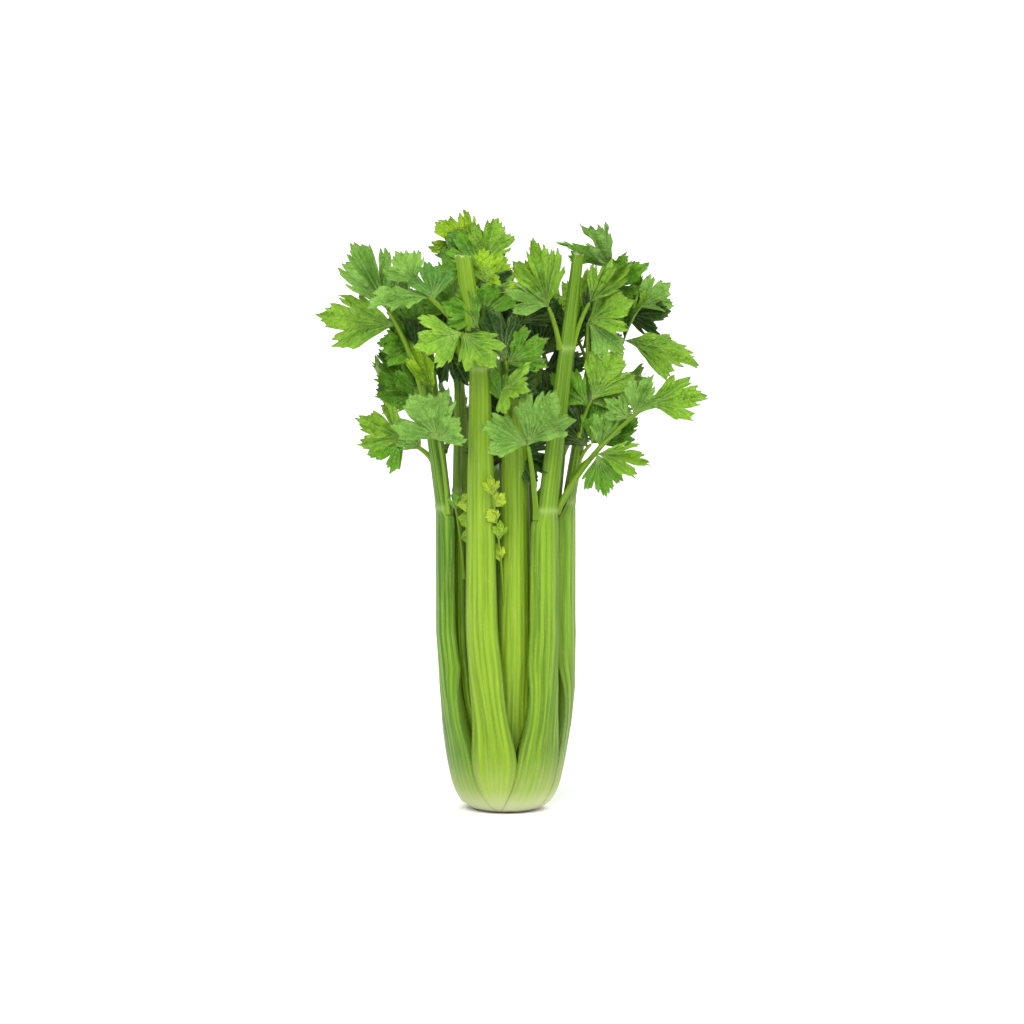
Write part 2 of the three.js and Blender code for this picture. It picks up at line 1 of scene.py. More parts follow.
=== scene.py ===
import math
import bpy
import numpy as np
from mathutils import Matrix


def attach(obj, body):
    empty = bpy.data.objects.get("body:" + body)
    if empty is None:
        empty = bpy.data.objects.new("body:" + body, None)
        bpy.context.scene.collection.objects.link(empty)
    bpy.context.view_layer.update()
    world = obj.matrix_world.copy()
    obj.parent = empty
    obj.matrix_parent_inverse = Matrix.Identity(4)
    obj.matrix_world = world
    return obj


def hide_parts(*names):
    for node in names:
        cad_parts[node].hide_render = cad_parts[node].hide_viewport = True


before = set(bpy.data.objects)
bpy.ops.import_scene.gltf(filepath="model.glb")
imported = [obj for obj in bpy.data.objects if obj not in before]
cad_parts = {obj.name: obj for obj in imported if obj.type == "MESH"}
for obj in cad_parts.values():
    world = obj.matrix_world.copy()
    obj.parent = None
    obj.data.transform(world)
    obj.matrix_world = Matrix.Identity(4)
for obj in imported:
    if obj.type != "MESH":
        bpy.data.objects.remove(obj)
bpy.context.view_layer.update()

# The studio: a wide pale floor whose far rim turns up all round, and three soft lights. The camera stands
# far off with a long lens, a little above the middle of the head.
# Headings are measured round the head in degrees: 0 is the front (-Y), +90 the right, 180 the back.
MM = 0.001
CAMERA_FAR = 3.0
CAMERA_RISE = 6.0
LENS_MM = 166.0
LOOK_AT_MM = (3.8, 0.0, 190.5)
FLOOR_HALF = 40.0
FLOOR_SQUARES = 32
RIM_START, RIM_END, RIM_HEIGHT = 18.0, 40.0, 8.0
STUDIO_SHARE = 0.55   # the studio's light brings a surface up to its seen colour from this share of it


def heading_vector(heading, rise=0.0):
    h, r = math.radians(heading), math.radians(rise)
    return np.array([math.cos(r) * math.sin(h), -math.cos(r) * math.cos(h), math.sin(r)])


class Signal:
    """One output of a node. Sums and products of signals add the Math nodes that work them out."""

    def __init__(self, finish, socket):
        self.finish = finish
        self.socket = socket

    def math(self, operation, *others):
        return self.finish.node("ShaderNodeMath", {"operation": operation},
                                dict(enumerate([self, *others])))

    def __add__(self, other):
        return self.math("ADD", other)

    def __mul__(self, other):
        return self.math("MULTIPLY", other)

    def __sub__(self, other):
        return self.math("SUBTRACT", other)

    def __rsub__(self, other):
        return self.finish.node("ShaderNodeMath", {"operation": "SUBTRACT"}, {0: other, 1: self})

    __radd__ = __add__
    __rmul__ = __mul__

    def step(self, low, high):
        return self.finish.node("ShaderNodeMapRange", {"interpolation_type": "SMOOTHSTEP"},
                                {"Value": self, "From Min": low, "From Max": high})


class Finish:
    """A material under construction."""

    def __init__(self, name):
        self.material = bpy.data.materials.new(name)
        self.material.use_nodes = True
        self.tree = self.material.node_tree
        self.tree.nodes.clear()

    def node(self, kind, settings=None, values=None, output=0):
        made = self.tree.nodes.new(kind)
        for key, value in (settings or {}).items():
            setattr(made, key, value)
        for key, value in (values or {}).items():
            if isinstance(value, Signal):
                self.tree.links.new(value.socket, made.inputs[key])
            else:
                made.inputs[key].default_value = value
        return Signal(self, made.outputs[output])

    def reading(self, name, output=2):
        return self.node("ShaderNodeAttribute", {"attribute_name": name}, output=output)

    def blend(self, factor, first, second, kind="MIX"):
        return self.node("ShaderNodeMix", {"data_type": "RGBA", "blend_type": kind},
                         {0: factor, 6: first, 7: second}, output=2)

    def close(self, shader):
        output = self.tree.nodes.new("ShaderNodeOutputMaterial")
        self.tree.links.new(shader.socket, output.inputs["Surface"])
        return self.material


def paint(red, green, blue):
    """A colour as seen in the studio, 0 to 255, turned into the linear values that a shader takes."""
    return tuple(STUDIO_SHARE * ((c / 255 + 0.055) / 1.055) ** 2.4 for c in (red, green, blue)) + (1.0,)


def mesh_piece(name, points_mm, faces, materials, numbers=None, tones=None, face_slots=None):
    mesh = bpy.data.meshes.new(name)
    mesh.from_pydata((np.asarray(points_mm) * MM).tolist(), [], faces)
    for key, values in (numbers or {}).items():
        mesh.attributes.new(key, "FLOAT", "POINT").data.foreach_set("value", np.asarray(values, "f"))
    if tones is not None:
        mesh.attributes.new("tone", "FLOAT_COLOR", "POINT").data.foreach_set(
            "color", np.asarray(tones, "f").ravel())
    for material in materials:
        mesh.materials.append(material)
    if face_slots is not None:
        mesh.polygons.foreach_set("material_index", np.asarray(face_slots, "i"))
    mesh.shade_smooth()
    mesh.update()
    piece = bpy.data.objects.new(name, mesh)
    bpy.context.scene.collection.objects.link(piece)
    return piece


def floor_finish():
    finish = Finish("studio_floor")
    cloud = finish.node("ShaderNodeTexNoise", {}, {"Scale": 1.5, "Detail": 2.0})
    colour = finish.blend(cloud.step(0.3, 0.7), (0.9, 0.9, 0.9, 1), (0.92, 0.92, 0.92, 1))
    return finish.close(finish.node("ShaderNodeBsdfPrincipled", {}, {
        "Base Color": colour, "Roughness": 0.9, "Specular IOR Level": 0.1}))


steps = np.linspace(-FLOOR_HALF, FLOOR_HALF, FLOOR_SQUARES + 1) / MM
rim = RIM_END - RIM_START
corners = []
for y in steps:
    for x in steps:
        up = min(1.0, max(0.0, (math.hypot(x, y) * MM - RIM_START) / rim))
        corners.append((x, y, RIM_HEIGHT * up * up / MM))
row = FLOOR_SQUARES + 1
squares = [(j * row + i, j * row + i + 1, (j + 1) * row + i + 1, (j + 1) * row + i)
           for j in range(FLOOR_SQUARES) for i in range(FLOOR_SQUARES)]
studio_floor = mesh_piece("studio_floor", corners, squares, [floor_finish()])

camera_data = bpy.data.cameras.new("camera")
camera_data.lens = LENS_MM
camera = bpy.data.objects.new("camera", camera_data)
look_at = np.array(LOOK_AT_MM) * MM
camera.location = look_at + heading_vector(0, CAMERA_RISE) * CAMERA_FAR
camera.rotation_euler = (math.radians(90 - CAMERA_RISE), 0, 0)
bpy.context.scene.collection.objects.link(camera)
bpy.context.scene.camera = camera

# Far soft lights: name, heading, rise, how wide each looks in degrees, strength.
SOFT_LIGHTS = [
    ("key_light", -22, 40, 50, 3.8),
    ("fill_light", 62, 34, 50, 2.0),
    ("back_light", 160, 46, 40, 1.6),
]
for name, heading, rise, breadth, strength in SOFT_LIGHTS:
    light_data = bpy.data.lights.new(name, "SUN")
    light_data.angle = math.radians(breadth)
    light_data.energy = strength
    light = bpy.data.objects.new(name, light_data)
    light.location = look_at + heading_vector(heading, rise)
    light.rotation_euler = (math.radians(90 - rise), 0, math.radians(heading))
    bpy.context.scene.collection.objects.link(light)

world = bpy.data.worlds.new("studio")
world.use_nodes = True
world.node_tree.nodes["Background"].inputs["Color"].default_value = (1, 1, 1, 1)
world.node_tree.nodes["Background"].inputs["Strength"].default_value = 0.24
bpy.context.scene.world = world
bpy.context.scene.view_settings.view_transform = "Standard"

# The ribs: seven outer ones wrapped round the butt, five inside them and three in the heart. Each is a
# crisp crescent of green flesh with strings along its back, pinched at the joint and cut off at the top.
# Sizes are in millimetres. Tables are (height, value).
OUTER = dict(
    envelope=[(1, 20.5), (3, 25), (6, 29), (12, 32.5), (19, 35), (32, 37.8), (45, 40), (57, 42),
              (80, 44.6), (115, 46.6)],
    thickness=[(1, 2), (3, 5.5), (6, 9.5), (12, 11.5), (19, 11), (32, 10), (45, 9.5), (80, 8.9),
               (115, 8.5), (190, 8.5), (300, 7), (360, 6)],
    curve=[(75, 16), (120, 14), (185, 13.5), (235, 10.5), (300, 8.6), (360, 7.2)], start=1)
INNER = dict(
    envelope=[(16, 21.3), (20, 23.3), (32, 26.8), (45, 30), (100, 35.5)],
    thickness=[(16, 3), (20, 6), (32, 7.5), (64, 7), (200, 5.5), (330, 4)],
    curve=[(75, 13.8), (190, 12.3), (330, 6)], start=16)
HEART = dict(
    envelope=[(30, 14), (60, 17.5), (120, 20.5)],
    thickness=[(30, 7.5), (120, 6.5), (280, 4)],
    curve=[(75, 8.5), (280, 5)], start=30)
# Below BLEND_START the ribs wrap the butt as one sheath. Above BLEND_END each has its own curve.
BLEND_START, BLEND_END = 30, 100
SHEATH_TOP = 45       # where a rib's heading and sector at the foot have become its own
DRIFT_END = 130       # where a rib has finished leaning round the head
TAPER_START = 70      # where a rib starts to narrow towards its joint
SHOULDER = 9          # how far below the joint the last narrowing starts
WRAP_RATE = 1.7       # how much sooner a rib takes its own wrap than its own curve
MOST_WRAP = 0.9       # a rib is never wider than this share of its own curve's breadth
MOST_FLESH = 0.85     # nor thicker than this share of its curve
HOLLOW_EDGE = 0.8     # how far the hollow side closes in on the rib's edges
ROUNDING = 0.18       # share of the thickness that rounds the edges off
GAP = 0.08            # between neighbouring sheaths
STRINGS = 8
STRING_RELIEF = 0.28
RING_RELIEF, RING_HEIGHT = 0.5, 1.7
RIB_STEP = 2.5        # between the levels of a rib's plain stretches
OUTSIDE_POINTS, INSIDE_POINTS = 73, 25

# Where four of the outer ribs' feet differ from their sheaths: heading and sector at the ground.
FEET = {
    "rib_front_left": (-11, 1.5), "rib_front_right": (20, 29.5),
    "rib_right": (82, 32), "rib_left": (-48.5, 36),
}
# name: whorl, heading, sector, drift, widths (low down, below and above the joint, top), joint, top, lean.
RIBS = {
    "rib_front_left": (OUTER, -12, 23, -11, (24, 15, 13, 11), 285, 356, (-10, 2)),
    "rib_front_right": (OUTER, 36, 25, 2, (24, 21, 16, 8.5), 195, 357, (18, -2)),
    "rib_right": (OUTER, 88, 26.7, -20, (24, 20, 13, 7.5), 199, 300, (16, -2)),
    "rib_back_right": (OUTER, 141, 26.7, 0, (23, 19, 12, 8), 205, 325, (12, 8)),
    "rib_back": (OUTER, 195, 26.7, 0, (24, 20, 13, 9), 215, 340, (-4, 10)),
    "rib_back_left": (OUTER, 248, 26.7, 0, (23, 19, 11, 8), 200, 315, (-12, 6)),
    "rib_left": (OUTER, -60, 25, -10, (26, 23.5, 16, 7.5), 195, 275, (-10, -4)),
    "rib_inner_front": (INNER, 11, 35.5, 0, (23, 17, 13, 8), 240, 312, (0, -2)),
    "rib_inner_right": (INNER, 84, 35.5, -22, (18, 15, 11, 7), 170, 300, (12, -2)),
    "rib_inner_back_right": (INNER, 156, 35.5, 0, (18, 15, 9, 7), 210, 330, (8, 6)),
    "rib_inner_back_left": (INNER, 228, 35.5, 0, (18, 15, 9, 7), 200, 322, (-8, 6)),
    "rib_inner_left": (INNER, 300, 35.5, -10, (17, 14, 9, 6), 205, 318, (2, 4)),
    "rib_heart_front": (HEART, 0, 58, 0, (16, 14, 11, 7), 180, 290, (0, -2)),
    "rib_heart_right": (HEART, 120, 58, 0, (14, 12, 8, 5), 175, 280, (4, 2)),
    "rib_heart_left": (HEART, 240, 58, 0, (14, 12, 8, 5), 170, 285, (-4, 2)),
}
# Ribs that carry a second ring, higher up, and how young and pale each rib in front is.
SECOND_JOINTS = {"rib_front_right": 297, "rib_right": 262}
YOUTH = {
    "rib_front_left": 1.0, "rib_front_right": 0.45, "rib_left": 0.0,
    "rib_inner_front": 0.9, "rib_right": 0.45,
}
USUAL_YOUTH = 0.4


def read(table, at):
    return float(np.interp(at, [row[0] for row in table], [row[1] for row in table]))


def read_all(table, at):
    return np.interp(at, [row[0] for row in table], [row[1] for row in table])


def smooth(at, low, high):
    t = min(1.0, max(0.0, (at - low) / (high - low)))
    return t * t * (3 - 2 * t)


def mix(a, b, t):
    return a + (b - a) * t


def rib_place(name, z):
    """The middle of a rib's own curve at one height, its radius, its heading and how far up it is."""
    whorl, heading, sector, drift, _, joint, top, lean = RIBS[name]
    blend = smooth(z, BLEND_START, BLEND_END)
    envelope = read(whorl["envelope"], z)
    curve = mix(envelope, min(envelope, read(whorl["curve"], z)), blend)
    foot_heading, foot_sector = FEET.get(name, (heading, sector))
    settled = 1 - (1 - min(1, z / SHEATH_TOP)) ** 3
    sector = mix(foot_sector, sector, settled)
    turn = mix(foot_heading, heading, settled) + drift * smooth(z, BLEND_START, DRIFT_END)
    climb = min(1.0, max(0.0, (z - joint) / (top - joint)))
    centre = heading_vector(turn) * (envelope - curve) + np.array([lean[0] * climb, lean[1] * climb, z])
    return centre, curve, turn, blend, climb, sector


def rib_ring(name, z):
    """One level of a rib: points round the crescent, and how far across, in a string or inside each is."""
    whorl, heading, _, _, widths, joint, _, _ = RIBS[name]
    centre, curve, turn, blend, climb, sector = rib_place(name, z)
    narrowing = smooth(z, joint - SHOULDER, joint)
    below = mix(widths[0], widths[1], min(1.0, max(0.0, (z - TAPER_START) / (joint - TAPER_START))))
    width = mix(below, mix(widths[2], widths[3], climb), narrowing)
    sheath = math.radians(sector) - GAP / curve
    thickness = min(read(whorl["thickness"], z), curve * MOST_FLESH)
    rounding = thickness * ROUNDING * blend
    own = math.asin(min(MOST_WRAP, width / 2 / (curve - rounding)))
    half = mix(sheath, own, 1 - (1 - blend) ** WRAP_RATE)
    out = np.linspace(-1, 1, OUTSIDE_POINTS)
    back = np.linspace(1, -1, INSIDE_POINTS)
    lobes = np.abs(np.sin(math.pi * STRINGS * (out + 1) / 2 + 0.35 * np.sin(5 * out + heading)))
    strings = lobes ** 1.5 * 0.75 + 0.25 * np.sin(math.pi * 2.6 * STRINGS * out + heading) ** 2
    relief = STRING_RELIEF * min(1.0, width / 18) * smooth(z, 1, 30) * (1 - np.abs(out) ** 8)
    joints = {joint, SECOND_JOINTS.get(name, joint)}
    collar = RING_RELIEF * sum(math.exp(-((z - at) / RING_HEIGHT) ** 2) for at in joints)
    outer = curve - relief * (1 - strings) - rounding * np.abs(out) ** 5 + collar
    edge = np.sqrt(1 - (HOLLOW_EDGE * back * blend) ** 2)
    inner = curve - thickness * edge + rounding * np.abs(back) ** 5
    across = np.concatenate([out, back])
    radius = np.concatenate([outer, inner])
    angle = np.radians(turn) + half * across
    ring = np.stack([centre[0] + radius * np.sin(angle), centre[1] - radius * np.cos(angle),
                     np.full(len(angle), z)], axis=1)
    inside = np.concatenate([np.zeros(OUTSIDE_POINTS), np.ones(INSIDE_POINTS)])
    return ring, across, np.concatenate([strings, np.full(INSIDE_POINTS, 0.5)]), inside


def skin(rings, count):
    """Quads between rings of points, each ring closed on itself."""
    r = np.arange(rings - 1)[:, None] * count
    k = np.arange(count)[None, :]
    n = (k + 1) % count
    return np.stack([r + k, r + n, r + n + count, r + k + count], axis=-1).reshape(-1, 4).tolist()


def build_rib(name, flesh):
    whorl, heading, _, _, _, joint, top, _ = RIBS[name]
    low = whorl["start"]
    count = OUTSIDE_POINTS + INSIDE_POINTS
    near_foot = low + np.array([0, 0.6, 1.3, 2.2, 3.4, 5, 7, 9, 11.5, 14])
    joints = [joint, SECOND_JOINTS.get(name, joint)]
    near_joints = np.concatenate([at + np.arange(-6, 6.5, 0.8) for at in joints])
    plain_stretch = np.arange(low + 16.5, top - 1, RIB_STEP)
    levels = np.unique(np.concatenate([near_foot, plain_stretch, near_joints, [top]]))
    points, across, strings, inside = [], [], [], []
    for z in levels:
        ring, a, s, i = rib_ring(name, float(z))
        points.append(ring)
        across.append(a)
        strings.append(s)
        inside.append(i)
    # the cut was quick: its rim is torn and dips between the strings
    torn = 1.1 + 0.9 * np.sin(9 * across[-1] + heading) + 0.7 * np.sin(31 * across[-1])
    points[-1][:, 2] -= np.clip(torn, 0, 3)
    heights = np.repeat(levels, count)
    cut = np.zeros(len(heights))
    faces = skin(len(levels), count)
    # the two ends: the ring again as its own points, so that the cut keeps a crisp edge
    ends = [(points[0], list(range(count))[::-1], 0.0), (points[-1], list(range(count)), 1.0)]
    start = len(heights)
    for ring, order, is_cut in ends:
        faces.append([start + k for k in order])
        start += count
        cut = np.concatenate([cut, np.full(count, is_cut)])
    points = np.concatenate([*points, ends[0][0], ends[1][0]])
    heights = np.concatenate([heights, np.full(count, low), np.full(count, top)])
    across = np.concatenate([*across, across[0], across[-1]])
    strings = np.concatenate([*strings, strings[0], strings[-1]])
    inside = np.concatenate([*inside, inside[0], inside[-1]])
    near_joint = np.max([np.exp(-((heights - at) / 2.2) ** 2) for at in joints], axis=0)
    piece = mesh_piece(name + "_flesh", points, faces, [flesh], {
        "across": across, "height": heights, "strings": strings, "inside": inside, "cut": cut,
        "near_joint": near_joint, "youth": np.full(len(heights), YOUTH.get(name, USUAL_YOUTH)),
        "own": np.full(len(heights), (heading * 7.3) % 10)})
    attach(piece, "root")
    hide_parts(name)


def rib_finish():
    """Crisp rib flesh: pale strings on deeper green, creamy at the foot, pale at the joint and the cut. Its
    edges carry painted shade and it is flecked with painted glints.
    """
    finish = Finish("rib_flesh")
    across, height = finish.reading("across"), finish.reading("height")
    strings, inside = finish.reading("strings"), finish.reading("inside")
    own = finish.reading("own")
    around = across + inside * 0.6
    lengthwise = finish.node("ShaderNodeCombineXYZ", {}, {0: across * 3.2, 1: height * 0.006, 2: own})
    bands = finish.node("ShaderNodeTexNoise", {}, {"Vector": lengthwise, "Scale": 1.6, "Detail": 3.0})
    fibres_at = finish.node("ShaderNodeCombineXYZ", {}, {0: around * 34, 1: height * 0.05, 2: own})
    fibres = finish.node("ShaderNodeTexNoise", {}, {"Vector": fibres_at, "Scale": 1.0, "Detail": 2.0})
    grains_at = finish.node("ShaderNodeCombineXYZ", {}, {0: around * 22, 1: height * 0.9, 2: own})
    grains = finish.node("ShaderNodeTexNoise", {}, {"Vector": grains_at, "Scale": 1.0, "Detail": 1.0})
    youth = finish.reading("youth")
    green = finish.blend(bands.step(0.4, 0.6), paint(66, 116, 2), paint(100, 156, 2))
    green = finish.blend(youth * (bands * 0.7 + 0.2), green, paint(166, 202, 40))
    # painted shade: the rib's edges, which curve away from the light, are darkened to a deeper green
    green = finish.blend((across * across).step(0.35, 1.05) * 0.7, green, paint(60, 102, 2))
    ridges = strings.step(0.2, 0.9) * (bands.step(0.35, 0.6) * 0.26 + 0.12)
    green = finish.blend(ridges, green, paint(168, 204, 58))
    # painted highlights: fine pale flecks in dotted lines along the rib stand in for glints of light on its
    # tiny bumps
    painted_glints = fibres.step(0.5, 0.66) * (grains.step(0.4, 0.7) * 0.28 + 0.1)
    green = finish.blend(painted_glints, green, paint(206, 228, 108))
    green = finish.blend(height.step(150, 300) * 0.3, green, paint(84, 142, 4))
    green = finish.blend(inside * 0.45, green, paint(160, 196, 70))
    foot = 1 - (height + bands * 50 + fibres * 14).step(28, 76)
    green = finish.blend(foot * 0.7, green, paint(212, 228, 132))
    green = finish.blend((1 - (height + fibres * 8).step(3, 22)) * 0.85, green, paint(236, 238, 196))
    seam = across.math("ABSOLUTE").step(0.96, 1.0) * (1 - height.step(2, 34))
    green = finish.blend(seam * 0.4, green, paint(150, 124, 50))
    root = 1 - (height + fibres * 2).step(1.4, 3.6)
    green = finish.blend(root * 0.55, green, paint(160, 112, 56))
    green = finish.blend(finish.reading("near_joint") * 0.42, green, paint(192, 218, 122))
    fresh_cut = finish.blend(grains.step(0.35, 0.7), paint(176, 205, 92), paint(222, 232, 160))
    green = finish.blend(finish.reading("cut"), green, fresh_cut)
    relief = strings * 0.3 + fibres * 0.5 + grains * 0.6
    bump = finish.node("ShaderNodeBump", {}, {"Strength": 0.5, "Distance": 0.0004, "Height": relief})
    shine = 0.36 - strings * 0.06 + grains * 0.12
    return finish.close(finish.node("ShaderNodeBsdfPrincipled", {}, {
        "Base Color": green, "Roughness": shine, "Specular IOR Level": 0.18, "Coat Weight": 0.05,
        "Coat Roughness": 0.2, "Normal": bump}))


rib_flesh = rib_finish()
for name in RIBS:
    build_rib(name, rib_flesh)

# The butt: the short solid stem that every rib grows from. Its underside is the cut made at harvest,
# a pale woody disc with rings of fibres that have gone brown towards the rim.
# The butt's outline: (distance from the axis, height).
BUTT_PROFILE = [(0, 0), (5, 0.15), (10, 0.1), (14, 0), (14.5, 0.1), (16.2, 1.5), (17.3, 6), (16.8, 12),
                (13.5, 18), (9, 24), (4, 28), (0, 29)]
BUTT_TURNS = 72


def butt_finish():
    finish = Finish("butt_flesh")
    spread, height = finish.reading("spread"), finish.reading("height")
    place = finish.node("ShaderNodeTexCoord", output=3)
    mottle = finish.node("ShaderNodeTexNoise", {}, {"Vector": place, "Scale": 320.0, "Detail": 5.0})
    pores = finish.node("ShaderNodeTexVoronoi", {}, {"Vector": place, "Scale": 900.0})
    rings = finish.node("ShaderNodeMath", {"operation": "SINE"}, {0: spread * 2.4 + mottle * 3})
    flesh = finish.blend(mottle.step(0.35, 0.65), paint(196, 196, 140), paint(222, 220, 176))
    flesh = finish.blend(rings.step(0.2, 1.0) * 0.35, flesh, paint(178, 168, 104))
    flesh = finish.blend(spread.step(9, 15) * 0.75, flesh, paint(152, 108, 58))
    flesh = finish.blend(height.step(5, 20) * 0.6, flesh, paint(206, 216, 150))
    flesh = finish.blend((1 - pores.step(0.1, 0.4)) * 0.4, flesh, paint(150, 120, 70))
    bump = finish.node("ShaderNodeBump", {}, {
        "Strength": 0.5, "Distance": 0.0004, "Height": mottle + pores})
    return finish.close(finish.node("ShaderNodeBsdfPrincipled", {}, {
        "Base Color": flesh, "Roughness": mottle * 0.2 + 0.55, "Normal": bump}))


turns = np.linspace(0, 2 * math.pi, BUTT_TURNS, endpoint=False)
levels = []
for radius, height in BUTT_PROFILE:
    wobble = radius * (1 + 0.012 * np.sin(7 * turns) * (radius > 15))
    level = np.full(BUTT_TURNS, height)
    levels.append(np.stack([wobble * np.cos(turns), wobble * np.sin(turns), level], axis=1))
points = np.concatenate(levels)
butt = mesh_piece("butt_flesh", points, skin(len(levels), BUTT_TURNS), [butt_finish()], {
    "spread": np.hypot(points[:, 0], points[:, 1]), "height": points[:, 2]})
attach(butt, "root")
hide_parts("butt")

# The leaf sprigs: each is a juicy side stalk that leaves a rib and carries a few soft, three-lobed,
# saw-edged leaflets. The blades are thin, veined and a little see-through, paler underneath.
# Tones: the blade's main green, from the dark tone, painted shade for the leaves inside, to the young ones
# at the top.
TONES = {
    # the pale and blue tones are partly painted sheen, the look of light on the leaves' upper sides
    "dark": paint(34, 88, 0), "mid": paint(122, 196, 20), "light": paint(160, 220, 50),
    "pale": paint(156, 218, 84), "blue": paint(108, 180, 60), "young": paint(186, 240, 12),
    "sprout": paint(222, 252, 40),
}
# A stalk starts inside its rib, this share of the rib's curve out and at most this many degrees aside,
# and bends on its way up to its crown.
FOOT_DEPTH, FOOT_ASIDE = 0.85, 45
BEND_OUT, BEND_UP = 0.35, 0.6
STALK_TAPER = 0.35
CUP, DROOP = 0.1, 0.1
BLADE = 0.4           # thickness of a blade
STALK_RINGS, STALK_SIDES = 26, 18
STALK_YOUTH = 0.6
STALK_COLOURED_AS = (175, 235)   # a stalk is coloured like a rib between these heights
BLADE_COLUMNS, BLADE_ROWS = 121, 15
BLADE_SPREAD = 52
# A leaflet's edge: (degrees from the midrib, reach as a share of the length), before notches and teeth.
LEAF_EDGE = [(0, 1.0), (9, 0.93), (17, 0.87), (24, 0.85), (31, 0.89), (37, 0.81), (44, 0.66), (52, 0.32)]
# Notches: degrees from the midrib, least and most depth, half breadth in degrees.
NOTCHES = [(18, 0.06, 0.4, 2.2), (8, 0.03, 0.12, 1.5), (28, 0.02, 0.1, 1.5), (38, 0.05, 0.26, 1.8)]
WEDGE = 0.45          # how narrow a leaflet starts at its foot
# How deep the teeth, the folds along the main veins, the waves, the frill and the crumple are.
TEETH, FOLDS, WAVES, FRILL, CRUMPLE = (0.06, 0.1), (0.25, 0.75), 0.06, 0.016, 0.014
MAIN_VEINS = [0, -31, 31]
VEINS = MAIN_VEINS + [-11, 11, -22, 22, -42, 42]

